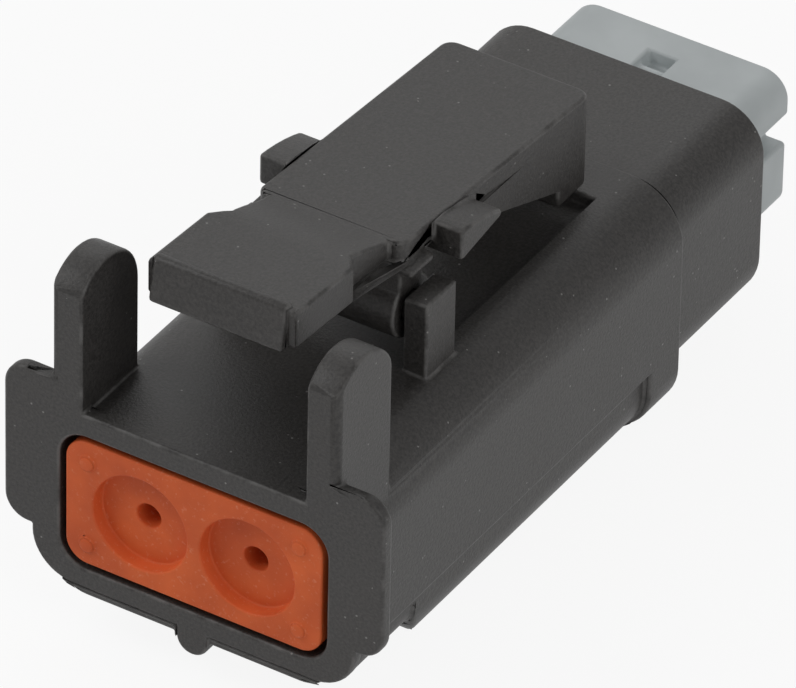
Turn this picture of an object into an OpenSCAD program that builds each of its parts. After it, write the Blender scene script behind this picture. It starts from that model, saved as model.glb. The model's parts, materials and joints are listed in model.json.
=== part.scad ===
// Two-way sealed connector plug: one moulded housing with a rear grip flange,
// a see-saw latch on top, a wire seal behind, a ring seal inside the nose and
// a push-in wedge lock in front.
// +X across the plug, +Y towards the mating end, +Z up to the latch.
// The origin lies on the flange's rear face, midway between the two cavities.

/* [Contacts] */
// Distance between the two contact cavities
pitch = 4.1; // [4:0.1:4.4]
// Diameter of the cavity that a contact snaps into
cavity_d = 2.9; // [2.4:0.1:3]
// Diameter of the narrow front end of the cavity
cavity_front_d = 2.3; // [1.9:0.1:2.3]
// Length of that narrow front end
cavity_front_len = 3; // [2:0.1:3.4]

/* [Body] */
// Width of the body between its upper side faces
body_w = 11.3; // [11.1:0.1:11.8]
// Height of the body's top above the contacts
body_top = 3.55; // [3.45:0.05:3.8]
// Depth of the body's underside below the contacts
body_bottom = 5.4; // [5:0.1:6]
// Radius of the body's long top edges
top_edge_r = 2.1; // [1:0.1:2.2]
// Radius of the body's long bottom edges
bottom_edge_r = 1.8; // [0.8:0.1:2]
// Height of the crease on the side, below the contacts
crease_drop = 2.75; // [2.2:0.05:3.2]
// How far the lower side steps in under the crease
crease_step = 0.25; // [0.1:0.05:0.4]
// Length from the rear face to the back of the collar
body_len = 19.2; // [18.6:0.1:22]
// Length of the collar
collar_len = 1.9; // [1.2:0.1:3]
// Where the full-depth belly begins
belly_y = 4.9; // [4:0.1:6]
// Radius of the curve that brings the belly down
belly_r = 2; // [1.2:0.1:2.4]
// Depth of the underside behind the belly, below the contacts
rear_bottom = 4.4; // [4.1:0.05:4.6]
// Radius of the long bottom edges behind the belly
rear_edge_r = 1.3; // [0.6:0.1:1.5]
// Where the underside steps down behind the flange
step_y = 1.6; // [1.2:0.1:2.5]
// How far the underside ahead of the flange lies below the flange
heel_drop = 0.3; // [0.1:0.05:0.5]
// Width of the recessed channel along the deck
channel_w = 6.6; // [6:0.1:7]
// Depth of that channel
channel_depth = 0.45; // [0.2:0.05:0.5]
// Distance of the channel's rear end from the pivot posts
channel_gap = 0.3; // [0.1:0.1:1]

/* [Flange] */
// Width across the two wings
wing_w = 14.5; // [13.5:0.1:17]
// Height of the wings above the contacts
wing_top = 4.6; // [4.2:0.05:5.2]
// Depth of the wings below the contacts
wing_bottom = 1.65; // [1:0.05:2.2]
// Width of the flange under the wings
skirt_w = 12.4; // [11.9:0.1:12.8]
// Depth of the flange under the contacts
skirt_bottom = 3.45; // [3.2:0.05:3.6]
// Thickness of the flange
flange_t = 0.5; // [0.4:0.05:0.9]
// Radius of the wing corners
wing_r = 0.9; // [0.4:0.1:1.2]
// Radius of the flange's lower corners
skirt_r = 1.6; // [0.8:0.1:1.8]
// Radius of the flange's corners at the deck
deck_r = 0.4; // [0.2:0.1:0.8]
// Width of the keying rib under the flange
key_w = 1.2; // [0.8:0.1:2]
// How far the keying rib stands out below the flange
key_h = 0.95; // [0.5:0.05:1.1]

/* [Guard posts] */
// Clear width between the two posts that shield the thumb tab
post_gap = 8.5; // [8.2:0.1:8.8]
// Thickness of a post
post_t = 1.2; // [0.9:0.1:1.4]
// Depth of a post along the plug
post_depth = 3.35; // [3.3:0.05:4.2]
// Height of a post above the contacts
post_top = 8.9; // [7.5:0.1:10]
// Radius at the back of a post's top
post_back_r = 1.45; // [0.4:0.05:1.45]
// Radius at the front of a post's top
post_front_r = 1.85; // [0.4:0.05:1.85]
// Radius of a post's outer upright corners
post_corner_r = 0.3; // [0.1:0.05:0.5]

/* [Nose] */
// Width of the nose
nose_w = 10.8; // [10.4:0.1:10.8]
// Height of the nose's top above the contacts
nose_top = 3.35; // [3.2:0.05:3.4]
// Depth of the nose below the contacts
nose_bottom = 4.5; // [4.3:0.1:4.8]
// Length of the nose ahead of the collar
nose_len = 5.6; // [5:0.1:8]
// Wall of the nose
nose_wall = 0.8; // [0.6:0.05:0.9]
// Radius of the nose's top corners
nose_top_r = 1.7; // [1:0.1:2]
// Radius of the nose's bottom corners
nose_bottom_r = 2; // [1:0.1:2.4]
// Depth of the hollow inside the nose, from its rim
hollow_depth = 12; // [11:0.5:14]

/* [Inner core] */
// Width of the core that carries the cavities
core_w = 7.6; // [7.5:0.1:7.8]
// Height of the core
core_h = 3.7; // [3.5:0.1:3.8]
// Length of the core inside the hollow
core_len = 8.8; // [7.5:0.1:9]
// Radius of the core's corners
core_r = 0.8; // [0.4:0.1:1.2]

/* [Wire seal] */
// Width of the seal's rear face
seal_w = 9.8; // [9.4:0.1:10]
// Height of the seal's rear face
seal_h = 4.9; // [4.6:0.1:5.1]
// Thickness of the seal
seal_t = 4.4; // [3.6:0.1:4.6]
// How far the sealing lips stand out
lip_h = 0.18; // [0.1:0.02:0.2]
// Gap between the lips and the pocket
lip_gap = 0.04; // [0.02:0.01:0.08]
// Diameter of the round recess at each wire hole
recess_d = 3.6; // [3:0.1:3.8]
// Depth of that recess
recess_depth = 0.55; // [0.3:0.05:1]
// Diameter of a wire hole in the relaxed seal
wire_hole_d = 0.9; // [0.7:0.1:1.2]
// How far the seal's face lies inside the flange
seal_inset = 0.05; // [0:0.05:0.4]
// Radius of the pocket's corners
pocket_r = 1.05; // [0.8:0.05:1.6]
// Distance of the face's four small nubs from the middle plane
nub_x = 4.05; // [3.9:0.05:4.2]
// Height of the nubs above and below the contacts
nub_z = 1.65; // [1.5:0.05:1.8]
// Diameter of a nub
nub_d = 0.55; // [0.3:0.05:0.8]
// How far a nub stands out of the face
nub_h = 0.12; // [0.05:0.01:0.2]
// Distance of the first lip from the face
lip_y = 1.1; // [0.8:0.1:1.4]
// Distance between the two lips
lip_step = 1.4; // [1:0.1:1.6]
// Length of a lip
lip_t = 0.7; // [0.4:0.1:0.8]

/* [Interface seal] */
// Length of the ring seal inside the nose
ring_len = 3.2; // [2:0.1:4]
// Gap left round the ring seal
seal_ring_gap = 0.06; // [0.02:0.02:0.1]

/* [Latch lever] */
// Width of the lever's plate
lever_w = 5.6; // [5.2:0.1:5.8]
// Width of the neck behind the pivot
neck_w = 4.6; // [3.8:0.1:4.8]
// Thickness of the plate
plate_t = 0.75; // [0.6:0.05:0.9]
// Height of the plate's top at the hook
plate_front_z = 7.4; // [7.2:0.05:7.6]
// Height of the plate's top above the pivot, as if the plate ran straight
plate_rear_z = 8.2; // [8.1:0.05:8.3]
// Width of the thumb tab
tab_w = 5.6; // [5.2:0.1:6.4]
// Where the thumb tab's rear face lies
tab_y = 1.6; // [1.4:0.1:2]
// Length of the thumb tab
tab_len = 3.4; // [3:0.1:3.8]
// Height the tab gains over the straight plate
tab_rise = 0.7; // [0.5:0.05:1.2]
// Length over which the tab narrows to the neck
tab_taper = 0.7; // [0.4:0.1:1]
// Thickness of the tab
tab_t = 1.4; // [1.1:0.05:1.5]
// Length of the slope between the plate and the tab
ramp_len = 3.4; // [2.8:0.1:4]
// Width of the grip ridge on the tab's rear face
ridge_w = 5.1; // [4:0.1:5.2]
// Thickness of the grip ridge
ridge_t = 0.4; // [0.3:0.05:0.5]
// How far the grip ridge stands above the tab
ridge_h = 0.25; // [0.1:0.05:0.6]
// Radius of the grip ridge's crest
ridge_r = 0.22; // [0.15:0.01:0.25]
// How far the tab's rear face leans towards the mating end
ridge_lean = 0.25; // [0.1:0.05:0.3]
// How far the hook reaches over the collar
hook_lap = 0.45; // [0.2:0.05:0.8]
// Length of the hook along the plug
hook_len = 2; // [1.4:0.1:2.6]
// Gap between the hook's foot and the deck
hook_gap = 0.3; // [0.2:0.05:0.8]
// Radius of the lever's upright corners
lever_r = 0.5; // [0.2:0.05:0.6]
// How far a side arm reaches out from the plate
arm_reach = 1.1; // [0.8:0.1:1.4]
// Length of a side arm along the plug
arm_len = 2.45; // [1.8:0.05:3]
// Distance of the arms' rear ends from the pivot axis
arm_gap = 1.25; // [1:0.05:1.5]
// Depth of a side arm at its rear end
arm_h = 1.2; // [0.8:0.05:1.3]
// How far an arm's top falls below the plate at its tip
arm_fall = 0.38; // [0.2:0.02:0.5]
// Depth of a side arm at its tip
arm_tip = 0.25; // [0.2:0.05:0.4]

/* [Pivot] */
// Distance of the pivot axis from the rear face
pivot_y = 8.6; // [8.2:0.1:9]
// Height of the pivot axis above the contacts
pivot_z = 5.5; // [5.4:0.05:5.7]
// Diameter of the pivot pins
pivot_d = 1; // [0.8:0.1:1.2]
// Radial running clearance of the pivot
pivot_gap = 0.05; // [0.02:0.01:0.1]
// Wall of the knuckle round its bore
knuckle_wall = 0.6; // [0.4:0.05:0.7]
// Length of the web between the knuckle and the plate
web_len = 1.4; // [1:0.1:2]
// How far the small ledges above the pivot posts reach out
ledge_reach = 0.4; // [0.2:0.05:0.6]
// Thickness of a ledge
ledge_t = 0.35; // [0.2:0.05:0.45]
// Clear height between a ledge and its pivot post
ledge_gap = 0.6; // [0.4:0.05:0.8]
// Depth of a pivot pin's hole in the knuckle
pin_depth = 1; // [0.6:0.1:1.4]
// Clearance at the end of a pivot pin
pin_end_gap = 0.2; // [0.1:0.05:0.3]
// How far a pivot post stands above the pivot axis
pivot_post_over = 0.95; // [0.8:0.05:1]
// Thickness of a pivot post
pivot_post_t = 0.9; // [0.8:0.1:1.2]
// Length of a pivot post along the plug
pivot_post_len = 1.8; // [1.4:0.1:2]
// Side gap between the knuckle and a pivot post
side_gap = 0.25; // [0.15:0.05:0.4]

/* [Wedge lock] */
// Width of the lock's upper slab
lock_w = 8.4; // [8:0.1:8.6]
// Height of the lock's top above the contacts
lock_top = 2.35; // [2.2:0.05:2.4]
// Depth of the lock's underside below the contacts
lock_bottom = 2.9; // [2.7:0.05:3.2]
// Height of the side notch's top above the contacts
notch_top = 0.75; // [0.5:0.05:1]
// Depth of the side notch's floor below the contacts
notch_bottom = 0.4; // [0.2:0.05:0.7]
// Width left between the two side notches
waist_w = 6.8; // [6.6:0.1:7.2]
// How far the lock stands out of the nose
lock_out = 3.6; // [2.5:0.1:4.5]
// Radius of the lock's top corners
lock_r = 1; // [0.4:0.1:1.3]
// Diameter of a pin port through the lock
port_d = 1.8; // [1.4:0.1:1.9]
// Gap between the lock and the core
lock_gap = 0.4; // [0.2:0.05:0.6]
// Small radius of the slabs' edges beside the notch
slab_r = 0.15; // [0.05:0.05:0.3]
// Radius of the lower slab's bottom corners
slab_low_r = 0.5; // [0.2:0.1:0.8]
// How much narrower the lower slab is
slab_step = 0.1; // [0:0.05:0.3]
// Width of the tool pit in the lock's top
pit_w = 1.1; // [0.8:0.1:1.6]
// Distance of the pit from the nose's rim
pit_y = 0.9; // [0.6:0.1:1.4]
// Length of the pit
pit_len = 1.4; // [1:0.1:1.8]
// Depth of the pit over its whole length
pit_depth = 0.25; // [0.1:0.05:0.4]
// Length of the two deeper slots at its ends
slot_len = 0.55; // [0.3:0.05:0.6]
// Depth of those slots
slot_depth = 0.6; // [0.4:0.05:0.8]
// Width of the lock's leg under the core
leg_w = 6; // [4:0.1:6.6]
// Thickness of the leg
leg_t = 1; // [0.7:0.05:1.1]
// Length of the leg
leg_len = 4.6; // [3:0.1:4.8]
// Gap between the leg and the nose's inner floor
leg_gap = 0.35; // [0.1:0.05:0.4]
// Radius of the leg's long edges
leg_r = 0.25; // [0.1:0.05:0.3]

/* [Hidden] */
$fn = 48;
eps = 0.05;
sharp = 0.01;
collar_y = body_len + collar_len;
rim_y = collar_y + nose_len;
hollow_y = rim_y - hollow_depth;
core_front = hollow_y + core_len;
seal_pocket_w = seal_w + 2 * (lip_h + lip_gap);
seal_pocket_h = seal_h + 2 * (lip_h + lip_gap);
pocket_depth = seal_inset + seal_t;
seal_r = pocket_r - lip_h - lip_gap;
post_x = post_gap / 2 + post_t / 2;
knuckle_r = pivot_d / 2 + pivot_gap + knuckle_wall;
pivot_post_x = lever_w / 2 + side_gap + pivot_post_t / 2;
pivot_post_top = pivot_z + pivot_post_over;
hook_y = body_len + hook_lap;
ramp_y = tab_y + tab_len;
plate_slope = (plate_rear_z - plate_front_z) / (hook_y - pivot_y);
lock_rear = core_front + lock_gap;
lock_front = rim_y + lock_out;
inner_bottom = nose_bottom - nose_wall;
leg_z = leg_gap - inner_bottom;
black = [0.11, 0.105, 0.10];
orange = [0.78, 0.34, 0.18];
grey = [0.60, 0.65, 0.66];

// A profile drawn across the plug, pulled along it from y0 to y1
module along(y0, y1) {
    translate([0, y1, 0]) rotate([90, 0, 0]) linear_extrude(y1 - y0) children();
}

// A side profile, drawn with Y to the right and Z up, given a width about x
module across(width, x = 0) {
    translate([x - width / 2, 0, 0]) rotate([90, 0, 90]) linear_extrude(width) children();
}

// A rectangle of width w from z0 to z1, with rounded top and bottom corners
module panel(w, z0, z1, top_r, low_r) {
    translate([-w / 2, z0 + low_r]) square([w, z1 - z0 - top_r - low_r]);
    translate([-w / 2 + low_r, z0]) square([w - 2 * low_r, low_r + eps]);
    translate([-w / 2 + top_r, z1 - top_r - eps]) square([w - 2 * top_r, top_r + eps]);
    for (s = [-1, 1]) {
        translate([s * (w / 2 - low_r), z0 + low_r]) circle(low_r);
        translate([s * (w / 2 - top_r), z1 - top_r]) circle(top_r);
    }
}

module flange() {
    along(0, flange_t) panel(skirt_w, -skirt_bottom, body_top, deck_r, skirt_r);
    for (s = [-1, 1])
        along(0, flange_t) wing_outline(s);
    along(0, belly_y + 1) key_outline();
}

module wing_outline(side) {
    inner = post_gap / 2;
    w = wing_w / 2 - inner;
    translate([side * (inner + w / 2), 0]) {
        translate([-w / 2, -wing_bottom + wing_r]) square([w, wing_top + wing_bottom - 2 * wing_r]);
        translate([-w / 2 + (side < 0 ? wing_r : 0), -wing_bottom])
            square([w - wing_r, wing_top + wing_bottom]);
        for (z = [-wing_bottom + wing_r, wing_top - wing_r])
            translate([side * (w / 2 - wing_r), z]) circle(wing_r);
    }
}

module key_outline() {
    translate([-key_w / 2, -skirt_bottom - key_h + key_w / 2])
        square([key_w, key_h]);
    translate([0, -skirt_bottom - key_h + key_w / 2]) circle(key_w / 2);
}

module guard_post(side) {
    intersection() {
        across(post_t, side * post_x) post_side();
        translate([0, 0, -1]) linear_extrude(post_top + 2) post_plan(side);
    }
}

// A post rises from inside the wing and ends in a round top
module post_side() {
    square([post_back_r + eps, post_top - post_back_r]);
    translate([post_back_r, 0]) square([post_depth - post_back_r - post_front_r + eps, post_top]);
    translate([post_depth - post_front_r, 0]) square([post_front_r, post_top - post_front_r]);
    translate([post_back_r, post_top - post_back_r]) circle(post_back_r);
    translate([post_depth - post_front_r, post_top - post_front_r]) circle(post_front_r);
}

// Only the outer upright corners of a post are rounded
module post_plan(side) {
    r = post_corner_r;
    mirror([side < 0 ? 1 : 0, 0]) {
        translate([post_gap / 2, 0]) square([post_t - r, post_depth]);
        translate([post_gap / 2, r]) square([post_t, post_depth - 2 * r]);
        for (y = [r, post_depth - r])
            translate([post_gap / 2 + post_t - r, y]) circle(r);
    }
}

module body_shell() {
    along(eps, collar_y) panel(body_w, -crease_drop, body_top, top_edge_r, sharp);
    low_w = body_w - 2 * crease_step;
    along(eps, step_y + eps) panel(low_w, -skirt_bottom - heel_drop, 0, sharp, rear_edge_r);
    along(step_y, body_len + eps) panel(low_w, -rear_bottom, 0, sharp, rear_edge_r);
    intersection() {
        along(belly_y, body_len + eps) panel(low_w, -body_bottom, 0, sharp, bottom_edge_r);
        across(body_w) belly_side();
    }
    along(body_len, collar_y) panel(body_w, -body_bottom, 0, sharp, bottom_edge_r);
    along(collar_y - eps, rim_y) nose_outline(0);
}

module belly_side() {
    r = belly_r;
    translate([belly_y, -body_bottom + r]) square([body_len, body_bottom]);
    translate([belly_y + r, -body_bottom]) square([body_len - r, r + eps]);
    translate([belly_y + r, -body_bottom + r]) circle(r);
}

module nose_outline(inset) {
    panel(nose_w - 2 * inset, -nose_bottom + inset, nose_top - inset,
        nose_top_r - inset, nose_bottom_r - inset);
}

module core_outline(grow = 0) {
    panel(core_w + 2 * grow, -core_h / 2 - grow, core_h / 2 + grow, core_r + grow, core_r + grow);
}

module pivot_post(side) {
    across(pivot_post_t, side * pivot_post_x) {
        translate([pivot_y - pivot_post_len / 2, core_h / 2])
            square([pivot_post_len, pivot_post_top - core_h / 2]);
    }
    pin_x = side * (lever_w / 2 + side_gap + eps);
    translate([pin_x, pivot_y, pivot_z]) rotate([0, -side * 90, 0])
        cylinder(h = pin_depth + side_gap + eps, d = pivot_d);
}

module contact_cavities() {
    for (s = [-1, 1])
        translate([s * pitch / 2, 0, 0]) rotate([-90, 0, 0]) {
            translate([0, 0, pocket_depth - eps])
                cylinder(h = core_front - cavity_front_len - pocket_depth + eps, d = cavity_d);
            translate([0, 0, pocket_depth]) cylinder(h = core_front, d = cavity_front_d);
        }
}

module housing() {
    color(black) difference() {
        union() {
            flange();
            body_shell();
            for (s = [-1, 1]) {
                guard_post(s);
                pivot_post(s);
            }
        }
        along(-1, pocket_depth) panel(seal_pocket_w, -seal_pocket_h / 2, seal_pocket_h / 2,
            pocket_r, pocket_r);
        difference() {
            along(hollow_y, rim_y + 1) nose_outline(nose_wall);
            along(hollow_y - 1, core_front) core_outline();
        }
        contact_cavities();
        deck_channel();
    }
}

module deck_channel() {
    rear = pivot_y + pivot_post_len / 2 + channel_gap;
    translate([-channel_w / 2, rear, body_top - channel_depth])
        cube([channel_w, body_len - rear, 2 * channel_depth]);
}

// How far the slope up to the tab has risen at a distance y, from 0 to 1
function rise(y) =
    let (t = min(1, max(0, (ramp_y + ramp_len - y) / ramp_len)))
    t * t * (3 - 2 * t);

// Height of the lever's top, and of its underside, at a distance y
function lever_top(y) = plate_front_z + plate_slope * (hook_y - y) + tab_rise * rise(y);
function lever_low(y) = lever_top(y) - plate_t - (tab_t - plate_t) * rise(y);

module lever_side() {
    slope_y = [for (i = [0:8]) ramp_y + ramp_len * i / 8];
    stations = concat([tab_y], slope_y, [hook_y]);
    last = len(stations) - 1;
    polygon(concat(
        [for (y = stations) [y, lever_top(y)]],
        [for (i = [last:-1:0]) [stations[i], lever_low(stations[i])]]
    ));
    translate([hook_y - hook_len, body_top + hook_gap])
        square([hook_len, lever_low(hook_y) - body_top - hook_gap + eps]);
}

// A rectangle w wide from y0 to y1 with rounded corners
module rounded(w, y0, y1, r) {
    translate([-w / 2 + r, y0]) square([w - 2 * r, y1 - y0]);
    translate([-w / 2, y0 + r]) square([w, y1 - y0 - 2 * r]);
    for (s = [-1, 1])
        for (y = [y0 + r, y1 - r])
            translate([s * (w / 2 - r), y]) circle(r);
}

// The lever from above: plate, neck, and a tab that narrows to the neck
module lever_plan() {
    rounded(lever_w, pivot_y - web_len / 2, hook_y, lever_r);
    translate([-neck_w / 2, tab_y + lever_r]) square([neck_w, pivot_y - tab_y]);
    difference() {
        rounded(tab_w, tab_y, ramp_y + tab_taper, sharp);
        for (s = [-1, 1]) {
            x = s * tab_w / 2;
            polygon([[x + s, ramp_y], [x, ramp_y], [s * neck_w / 2, ramp_y + tab_taper],
                [s * neck_w / 2, ramp_y + tab_len], [x + s, ramp_y + tab_len]]);
        }
    }
}

// A side arm's profile: its top falls away in a curve towards the tip
module arm_side() {
    rear = pivot_y + arm_gap;
    steps = 5;
    tip = rear + arm_len;
    crown = [for (i = [0:steps]) let (y = rear + arm_len * i / steps)
        [y, lever_top(y) - arm_fall * pow(i / steps, 2)]];
    polygon(concat(crown, [
        [tip, lever_top(tip) - arm_fall - arm_tip], [rear, lever_top(rear) - arm_h]
    ]));
}

module lever_knuckle() {
    translate([-lever_w / 2, pivot_y, pivot_z]) rotate([0, 90, 0])
        cylinder(h = lever_w, r = knuckle_r);
    across(lever_w) translate([pivot_y - web_len / 2, pivot_z])
        square([web_len, lever_low(pivot_y) - pivot_z + eps]);
    across(lever_w + 2 * ledge_reach) translate([pivot_y - web_len / 2, pivot_post_top + ledge_gap])
        square([web_len, ledge_t]);
}

// The grip ridge's side profile: a leaning rear face under a round crest
module ridge_side() {
    foot = lever_low(tab_y);
    crest = lever_top(tab_y) + ridge_h;
    crest_y = tab_y - ridge_t + ridge_lean + ridge_r;
    polygon([
        [tab_y - ridge_t, foot], [tab_y + ridge_r, foot],
        [tab_y + ridge_r, lever_top(tab_y) - ridge_r], [crest_y + ridge_r, crest - ridge_r],
        [crest_y - ridge_r, crest - ridge_r]
    ]);
    translate([crest_y, crest - ridge_r]) circle(ridge_r);
}

module latch_lever() {
    color(black) difference() {
        union() {
            intersection() {
                across(tab_w) lever_side();
                linear_extrude(3 * plate_rear_z) lever_plan();
            }
            across(lever_w + 2 * arm_reach) arm_side();
            lever_knuckle();
            across(ridge_w) ridge_side();
        }
        for (s = [-1, 1])
            translate([s * (lever_w / 2 + eps), pivot_y, pivot_z]) rotate([0, -s * 90, 0])
                cylinder(h = pin_depth + pin_end_gap + eps, r = pivot_d / 2 + pivot_gap);
    }
}

// One sealing lip round the seal, its rear edge at y
module lip(y) {
    along(y, y + lip_t)
        panel(seal_w + 2 * lip_h, -seal_h / 2 - lip_h, seal_h / 2 + lip_h,
            seal_r + lip_h, seal_r + lip_h);
}

module rear_wire_seal() {
    color(orange) difference() {
        union() {
            along(seal_inset, pocket_depth) panel(seal_w, -seal_h / 2, seal_h / 2, seal_r, seal_r);
            for (i = [0, 1])
                lip(seal_inset + lip_y + i * lip_step);
            for (sx = [-1, 1])
                for (sz = [-1, 1])
                    translate([sx * nub_x, seal_inset + eps, sz * nub_z]) rotate([90, 0, 0])
                        cylinder(h = nub_h + eps, d = nub_d);
        }
        for (s = [-1, 1])
            translate([s * pitch / 2, 0, 0]) rotate([-90, 0, 0]) {
                translate([0, 0, -1]) cylinder(h = 1 + seal_inset + recess_depth, d = recess_d);
                cylinder(h = pocket_depth + 1, d = wire_hole_d);
            }
    }
}

module interface_seal() {
    color(orange) difference() {
        along(hollow_y, hollow_y + ring_len) nose_outline(nose_wall + seal_ring_gap);
        along(hollow_y - 1, hollow_y + ring_len + 1) core_outline(seal_ring_gap);
    }
}

module lock_outline() {
    panel(lock_w, notch_top, lock_top, lock_r, slab_r);
    panel(lock_w - slab_step, -lock_bottom, -notch_bottom, slab_r, slab_low_r);
    translate([-waist_w / 2, -notch_bottom - slab_r])
        square([waist_w, notch_top + notch_bottom + 2 * slab_r]);
}

// The pit in the lock's top, deeper at its two ends
module tool_pit() {
    translate([-pit_w / 2, rim_y + pit_y, lock_top - pit_depth]) cube([pit_w, pit_len, 1]);
    for (y = [pit_y, pit_y + pit_len - slot_len])
        translate([-pit_w / 2, rim_y + y, lock_top - slot_depth]) cube([pit_w, slot_len, 1]);
}

module wedge_lock() {
    color(grey) difference() {
        union() {
            along(lock_rear, lock_front) lock_outline();
            along(lock_rear - leg_len, lock_rear + eps)
                panel(leg_w, leg_z, leg_z + leg_t, leg_r, leg_r);
        }
        for (s = [-1, 1])
            translate([s * pitch / 2, lock_rear - 1, 0]) rotate([-90, 0, 0])
                cylinder(h = lock_front - lock_rear + 2, d = port_d);
        tool_pit();
    }
}

housing();
latch_lever();
rear_wire_seal();
interface_seal();
wedge_lock();
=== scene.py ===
import json
import math
import bpy
from mathutils import Matrix, Vector
from mathutils.bvhtree import BVHTree

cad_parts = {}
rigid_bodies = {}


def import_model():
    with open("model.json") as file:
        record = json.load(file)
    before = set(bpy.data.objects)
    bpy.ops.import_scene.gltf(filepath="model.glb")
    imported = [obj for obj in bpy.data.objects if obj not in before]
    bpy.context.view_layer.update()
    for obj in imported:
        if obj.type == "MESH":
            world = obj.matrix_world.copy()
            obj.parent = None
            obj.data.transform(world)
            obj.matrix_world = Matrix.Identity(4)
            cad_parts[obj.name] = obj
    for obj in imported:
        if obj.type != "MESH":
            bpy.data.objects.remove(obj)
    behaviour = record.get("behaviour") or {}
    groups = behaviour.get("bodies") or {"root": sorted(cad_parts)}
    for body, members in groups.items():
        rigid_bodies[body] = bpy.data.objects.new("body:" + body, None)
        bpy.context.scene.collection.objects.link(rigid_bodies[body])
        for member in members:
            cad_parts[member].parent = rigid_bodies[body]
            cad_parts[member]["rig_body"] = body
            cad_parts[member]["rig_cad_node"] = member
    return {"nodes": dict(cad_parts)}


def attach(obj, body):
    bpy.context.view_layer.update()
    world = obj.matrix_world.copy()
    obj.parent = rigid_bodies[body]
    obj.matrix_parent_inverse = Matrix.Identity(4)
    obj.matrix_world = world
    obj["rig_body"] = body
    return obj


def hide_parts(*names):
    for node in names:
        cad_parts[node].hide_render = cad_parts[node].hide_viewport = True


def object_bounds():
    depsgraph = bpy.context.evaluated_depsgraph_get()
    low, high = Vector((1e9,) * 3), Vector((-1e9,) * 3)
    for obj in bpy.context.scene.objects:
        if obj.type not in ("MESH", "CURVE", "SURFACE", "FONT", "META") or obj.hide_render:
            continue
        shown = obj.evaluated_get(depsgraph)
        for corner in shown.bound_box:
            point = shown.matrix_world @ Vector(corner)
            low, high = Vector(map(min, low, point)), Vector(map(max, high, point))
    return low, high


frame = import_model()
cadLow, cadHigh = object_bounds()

mm = 0.001


class Amount:
    # a shader socket that can stand in a sum
    def __init__(self, graph, socket):
        self.graph = graph
        self.socket = socket

    def maths(self, operation, first, second):
        return self.graph.node("ShaderNodeMath", {"operation": operation}, {0: first, 1: second})

    def __add__(self, other):
        return self.maths("ADD", self, other)

    def __radd__(self, other):
        return self.maths("ADD", other, self)

    def __mul__(self, other):
        return self.maths("MULTIPLY", self, other)

    def __rmul__(self, other):
        return self.maths("MULTIPLY", other, self)

    def __gt__(self, other):
        return self.maths("GREATER_THAN", self, other)


class Paint:
    # one material, its nodes and its main shader
    def __init__(self, name):
        self.material = bpy.data.materials.new(name)
        self.material.use_nodes = True
        self.tree = self.material.node_tree
        self.shader = self.tree.nodes["Principled BSDF"]
        self.place = self.node("ShaderNodeTexCoord", {}, {}, "Object")

    def node(self, kind, settings, sockets, output=0):
        made = self.tree.nodes.new(kind)
        for name, value in settings.items():
            setattr(made, name, value)
        for key, value in sockets.items():
            self.feed(made.inputs[key], value)
        return Amount(self, made.outputs[output])

    def feed(self, socket, value):
        if isinstance(value, Amount):
            self.tree.links.new(value.socket, socket)
        else:
            socket.default_value = value

    def attribute(self, name):
        return self.node("ShaderNodeAttribute", {"attribute_name": name}, {}, "Fac")

    def noise(self, scale, detail=2.0, roughness=0.5):
        return self.node("ShaderNodeTexNoise", {}, {
            "Vector": self.place, "Scale": scale, "Detail": detail, "Roughness": roughness})

    def specks(self, scale, radius):
        # 1 inside small round grains, 0 between them
        distance = self.node("ShaderNodeTexVoronoi", {"feature": "F1"}, {
            "Vector": self.place, "Scale": scale, "Randomness": 1.0}, "Distance")
        return self.node("ShaderNodeMapRange", {"interpolation_type": "SMOOTHSTEP"}, {
            "Value": distance, "From Min": radius, "From Max": radius * 0.5,
            "To Min": 0.0, "To Max": 1.0})

    def ramp(self, value, low, high):
        return self.node("ShaderNodeMapRange", {}, {
            "Value": value, "From Min": low, "From Max": high, "To Min": 0.0, "To Max": 1.0})

    def mix(self, factor, first, second):
        return self.node("ShaderNodeMix", {"data_type": "RGBA"}, {
            0: factor, 6: first, 7: second}, 2)

    def bump(self, height, distance, strength=1.0):
        return self.node("ShaderNodeBump", {}, {
            "Height": height, "Distance": distance, "Strength": strength})

    def finish(self, **sockets):
        for name, value in sockets.items():
            self.feed(self.shader.inputs[name.replace("_", " ")], value)
        return self.material


nylonLook = {
    "deep": (0.016, 0.0145, 0.0135, 1),
    "lit": (0.060, 0.056, 0.053, 1),
    "dust": (0.34, 0.33, 0.32, 1),
    # lighter grey for the crests of the rounded edges: partly real edge wear, partly a painted
    # edge highlight
    "wornAndHighlightGrey": (0.16, 0.155, 0.15, 1),
    "cloud": 260.0,
    "cloudRange": (0.3, 0.7),
    "cloudShare": 0.25,
    "cloudRoughness": 0.05,
    "grain": 9000.0,
    "grainRange": (0.36, 0.70),
    "grainShare": 0.75,
    "grainRoughness": 0.10,
    "grainDepth": 0.02 * mm,
    "speck": 2600.0,
    "speckRadius": 0.13,
    "dustPatch": 900.0,
    "dustFrom": 0.56,
    "dustCover": 0.55,
    # noise patches, range and cover of the lighter edge grey, which is partly real wear and
    # partly a painted edge highlight
    "wearAndHighlightPatch": 1100.0,
    "wearAndHighlightRange": (0.42, 0.62),
    "wearAndHighlightCover": 0.5,
    "roughness": 0.40,
}


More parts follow.
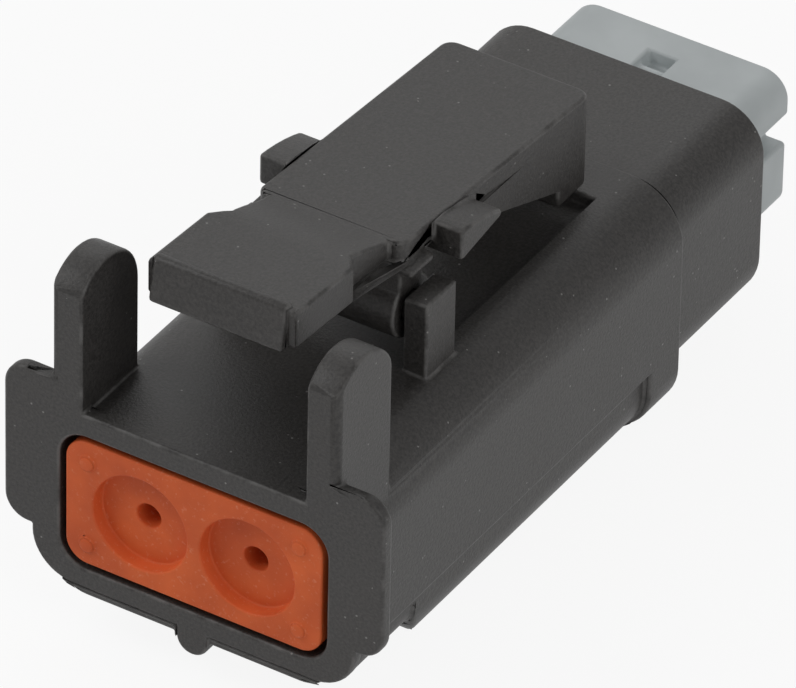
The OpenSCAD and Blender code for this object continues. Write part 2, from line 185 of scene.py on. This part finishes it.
def blackNylon():
    look = nylonLook
    paint = Paint("blackNylon")
    cloud = paint.noise(look["cloud"], 3.0)
    grain = paint.noise(look["grain"], 3.0, 0.65)
    tone = paint.ramp(grain, *look["grainRange"])
    flow = paint.ramp(cloud, *look["cloudRange"])
    depth = tone * look["grainShare"] + flow * look["cloudShare"]
    base = paint.mix(depth, look["deep"], look["lit"])
    specks = paint.specks(look["speck"], look["speckRadius"])
    dust = specks * (paint.noise(look["dustPatch"]) > look["dustFrom"])
    base = paint.mix(dust * look["dustCover"], base, look["dust"])
    # painted highlight: the edge crests turn lighter grey in noise patches, partly real edge
    # wear and partly a painted edge highlight
    wearAndHighlightPatches = paint.ramp(paint.noise(look["wearAndHighlightPatch"], 3.0), *look["wearAndHighlightRange"])
    wearAndHighlight = paint.attribute("edge") * wearAndHighlightPatches
    base = paint.mix(wearAndHighlight * look["wearAndHighlightCover"], base, look["wornAndHighlightGrey"])
    rough = look["roughness"] + grain * look["grainRoughness"] + flow * look["cloudRoughness"]
    return paint.finish(Base_Color=base, Roughness=rough, Specular_IOR_Level=0.5,
                        Normal=paint.bump(grain, look["grainDepth"]))


siliconeLook = {
    "deep": (0.56, 0.085, 0.016, 1),
    "lit": (0.78, 0.145, 0.034, 1),
    "bloom": (0.80, 0.40, 0.26, 1),
    "cloud": 420.0,
    "cloudRange": (0.3, 0.72),
    "cloudRoughness": 0.15,
    "grain": 7000.0,
    "grainDepth": 0.012 * mm,
    "grainStrength": 0.5,
    "bloomRange": (0.60, 0.78),
    "bloomCover": 0.35,
    "roughness": 0.55,
    "scatter": 0.08,
    "scatterDepth": 0.4 * mm,
}


def orangeSilicone():
    look = siliconeLook
    paint = Paint("orangeSilicone")
    cloud = paint.noise(look["cloud"], 3.0)
    grain = paint.noise(look["grain"], 2.0, 0.6)
    base = paint.mix(paint.ramp(cloud, *look["cloudRange"]), look["deep"], look["lit"])
    bloom = paint.ramp(grain, *look["bloomRange"])
    base = paint.mix(bloom * look["bloomCover"], base, look["bloom"])
    rough = look["roughness"] + cloud * look["cloudRoughness"]
    return paint.finish(Base_Color=base, Roughness=rough, Specular_IOR_Level=0.4,
                        Subsurface_Weight=look["scatter"],
                        Subsurface_Scale=look["scatterDepth"],
                        Normal=paint.bump(grain, look["grainDepth"], look["grainStrength"]))


lockLook = {
    "shade": (0.42, 0.452, 0.458, 1),
    "lit": (0.50, 0.535, 0.54, 1),
    "cloud": 350.0,
    "cloudRange": (0.3, 0.7),
    "grain": 5200.0,
    "grainRoughness": 0.12,
    "grainDepth": 0.008 * mm,
    "grainStrength": 0.4,
    "roughness": 0.42,
}


def greyNylon():
    look = lockLook
    paint = Paint("greyNylon")
    cloud = paint.noise(look["cloud"], 3.0)
    grain = paint.noise(look["grain"], 3.0, 0.6)
    base = paint.mix(paint.ramp(cloud, *look["cloudRange"]), look["shade"], look["lit"])
    rough = look["roughness"] + grain * look["grainRoughness"]
    return paint.finish(Base_Color=base, Roughness=rough,
                        Normal=paint.bump(grain, look["grainDepth"], look["grainStrength"]))


def deselect():
    if bpy.context.mode != "OBJECT":
        bpy.ops.object.mode_set(mode="OBJECT")
    bpy.ops.object.select_all(action="DESELECT")


def pick(piece):
    deselect()
    piece.select_set(True)
    bpy.context.view_layer.objects.active = piece


def markEdges(piece):
    # the attribute edge is 1 along the crest of each rounded edge and 0 on the faces
    mesh = piece.data
    crest = [1.0] * len(mesh.vertices)
    for face in mesh.polygons:
        if face.material_index == 0:
            for corner in face.vertices:
                crest[corner] = 0.0
        face.material_index = 0
    mesh.attributes.new("edge", "FLOAT", "POINT").data.foreach_set("value", crest)


def surfaceOf(piece):
    # the faces of a moulding, in a form that finds the nearest point on them
    corners = [corner.co.copy() for corner in piece.data.vertices]
    return BVHTree.FromPolygons(corners, [list(face.vertices) for face in piece.data.polygons])


def pullBack(piece, surface, reach):
    # a corner that the rounding threw off the moulding goes back onto it
    for corner in piece.data.vertices:
        place, normal, index, distance = surface.find_nearest(corner.co)
        if distance > reach:
            corner.co = place


mouldLook = {
    "mergeWithin": 0.02 * mm,
    "flatWithin": 0.5,
    "strayShare": 0.5,
    "smoothUnder": 45,
}


def dressed(node, pieceName, look):
    # a merged copy of a moulding, with the small edge radii of its mould
    source = frame["nodes"][node]
    piece = source.copy()
    piece.data = source.data.copy()
    piece.parent = None
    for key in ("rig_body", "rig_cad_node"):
        del piece[key]
    piece.name = pieceName
    bpy.context.collection.objects.link(piece)
    pick(piece)
    bpy.ops.object.mode_set(mode="EDIT")
    bpy.ops.mesh.select_all(action="SELECT")
    bpy.ops.mesh.remove_doubles(threshold=mouldLook["mergeWithin"])
    bpy.ops.mesh.dissolve_limited(angle_limit=math.radians(mouldLook["flatWithin"]))
    bpy.ops.object.mode_set(mode="OBJECT")
    piece.data.materials.clear()
    piece.data.materials.append(None)
    piece.data.materials.append(None)
    bevel = piece.modifiers.new("mouldRadius", "BEVEL")
    bevel.width = look["edge"]
    bevel.segments = look["segments"]
    bevel.limit_method = "ANGLE"
    bevel.angle_limit = math.radians(look["angle"])
    bevel.use_clamp_overlap = False
    bevel.material = 1
    sharpEdged = surfaceOf(piece)
    bpy.ops.object.modifier_apply(modifier=bevel.name)
    pullBack(piece, sharpEdged, look["edge"] * mouldLook["strayShare"])
    markEdges(piece)
    bpy.ops.object.shade_smooth_by_angle(angle=math.radians(mouldLook["smoothUnder"]))
    weighted = piece.modifiers.new("evenShading", "WEIGHTED_NORMAL")
    weighted.keep_sharp = True
    bpy.ops.object.modifier_apply(modifier=weighted.name)
    return piece


def settle(piece, body, node, material):
    piece.data.materials.clear()
    piece.data.materials.append(material)
    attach(piece, body)
    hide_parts(node)


housingEdges = {"edge": 0.12 * mm, "segments": 3, "angle": 50}
leverEdges = {"edge": 0.14 * mm, "segments": 3, "angle": 50}
sealEdges = {"edge": 0.08 * mm, "segments": 3, "angle": 50}
lockEdges = {"edge": 0.12 * mm, "segments": 3, "angle": 50}

black = blackNylon()
orange = orangeSilicone()
grey = greyNylon()
print("materials made")

settle(dressed("housing", "housingShell", housingEdges), "plug_body", "housing",
       black)
settle(dressed("latch_lever", "latchLever", leverEdges), "latch", "latch_lever",
       black)
settle(dressed("rear_wire_seal", "wireSeal", sealEdges), "plug_body", "rear_wire_seal",
       orange)
settle(dressed("interface_seal", "noseSeal", sealEdges), "plug_body", "interface_seal",
       orange)
settle(dressed("wedge_lock", "wedgeLock", lockEdges), "lock", "wedge_lock",
       grey)
print("mouldings dressed")

stageLook = {
    "floorSize": 1.2,
    "floorColour": (0.86, 0.86, 0.86, 1),
    "floorRoughness": 0.9,
    "whiteShare": 0.9,
    "mirroredShare": 0.8,
    "worldPlain": 0.30,
    "worldMirrored": 0.50,
}


def makeFloor():
    look = stageLook
    deselect()
    bpy.ops.mesh.primitive_plane_add(size=look["floorSize"], location=(0, 0, cadLow.z))
    floor = bpy.context.active_object
    floor.name = "floor"
    bpy.ops.object.transform_apply(location=True)
    paint = Paint("paleFloor")
    surface = paint.finish(Base_Color=look["floorColour"], Roughness=look["floorRoughness"])
    seen = paint.node("ShaderNodeLightPath", {}, {}, "Is Camera Ray")
    mirrored = paint.node("ShaderNodeLightPath", {}, {}, "Is Glossy Ray")
    glow = paint.node("ShaderNodeEmission", {}, {"Color": (1, 1, 1, 1), "Strength": 1.0})
    plain = Amount(paint, paint.shader.outputs[0])
    share = seen * look["whiteShare"] + mirrored * look["mirroredShare"]
    blend = paint.node("ShaderNodeMixShader", {}, {0: share, 1: plain, 2: glow})
    paint.tree.links.new(blend.socket, paint.tree.nodes["Material Output"].inputs["Surface"])
    floor.data.materials.append(surface)


lamps = {
    "window": {"from": (-0.16, 0.26, 0.26), "size": 0.30, "power": 0.26},
    "left": {"from": (-0.24, -0.14, 0.26), "size": 0.20, "power": 0.42},
    "right": {"from": (0.26, -0.06, 0.16), "size": 0.14, "power": 0.20},
}


def makeLight():
    centre = (cadLow + cadHigh) / 2
    for name, lamp in lamps.items():
        data = bpy.data.lights.new(name, "AREA")
        data.size = lamp["size"]
        data.energy = lamp["power"]
        light = bpy.data.objects.new(name, data)
        light.location = Vector(lamp["from"])
        light.rotation_mode = "QUATERNION"
        light.rotation_quaternion = (light.location - centre).to_track_quat("Z", "Y")
        bpy.context.collection.objects.link(light)
    world = bpy.data.worlds.new("paleRoom")
    world.use_nodes = True
    background = world.node_tree.nodes["Background"]
    background.inputs["Color"].default_value = (1, 1, 1, 1)
    path = world.node_tree.nodes.new("ShaderNodeLightPath")
    seen = world.node_tree.nodes.new("ShaderNodeMapRange")
    seen.inputs["To Min"].default_value = stageLook["worldPlain"]
    seen.inputs["To Max"].default_value = 1.0
    mirrored = world.node_tree.nodes.new("ShaderNodeMapRange")
    mirrored.inputs["To Max"].default_value = stageLook["worldMirrored"]
    world.node_tree.links.new(path.outputs["Is Camera Ray"], seen.inputs["Value"])
    world.node_tree.links.new(path.outputs["Is Glossy Ray"], mirrored.inputs["Value"])
    world.node_tree.links.new(seen.outputs[0], mirrored.inputs["To Min"])
    world.node_tree.links.new(mirrored.outputs[0], background.inputs["Strength"])
    bpy.context.scene.world = world


cameraPlace = {
    "azimuth": 31.56,
    "elevation": 36.56,
    "roll": 1.21,
    "distance": 384.7 * mm,
    "aim": Vector((3.573, 6.552, 5.537)) * mm,
    "lens": 542.7,
    "sensor": 36.0,
    "near": 0.01,
    "far": 10,
}


def makeCamera():
    look = cameraPlace
    turn = math.radians(look["azimuth"])
    rise = math.radians(look["elevation"])
    level = math.cos(rise)
    back = Vector((math.sin(turn) * level, -math.cos(turn) * level, math.sin(rise)))
    data = bpy.data.cameras.new("camera")
    data.lens = look["lens"]
    data.sensor_width = look["sensor"]
    data.clip_start = look["near"]
    data.clip_end = look["far"]
    data.dof.use_dof = False
    camera = bpy.data.objects.new("camera", data)
    bpy.context.collection.objects.link(camera)
    upright = back.to_track_quat("Z", "Y").to_matrix()
    tilt = Matrix.Rotation(math.radians(look["roll"]), 3, "Z")
    camera.matrix_world = (upright @ tilt).to_4x4()
    camera.location = look["aim"] + back * look["distance"]
    bpy.context.scene.camera = camera


makeFloor()
makeLight()
makeCamera()
bpy.context.scene.view_settings.view_transform = "Standard"
print("stage, light and camera set")
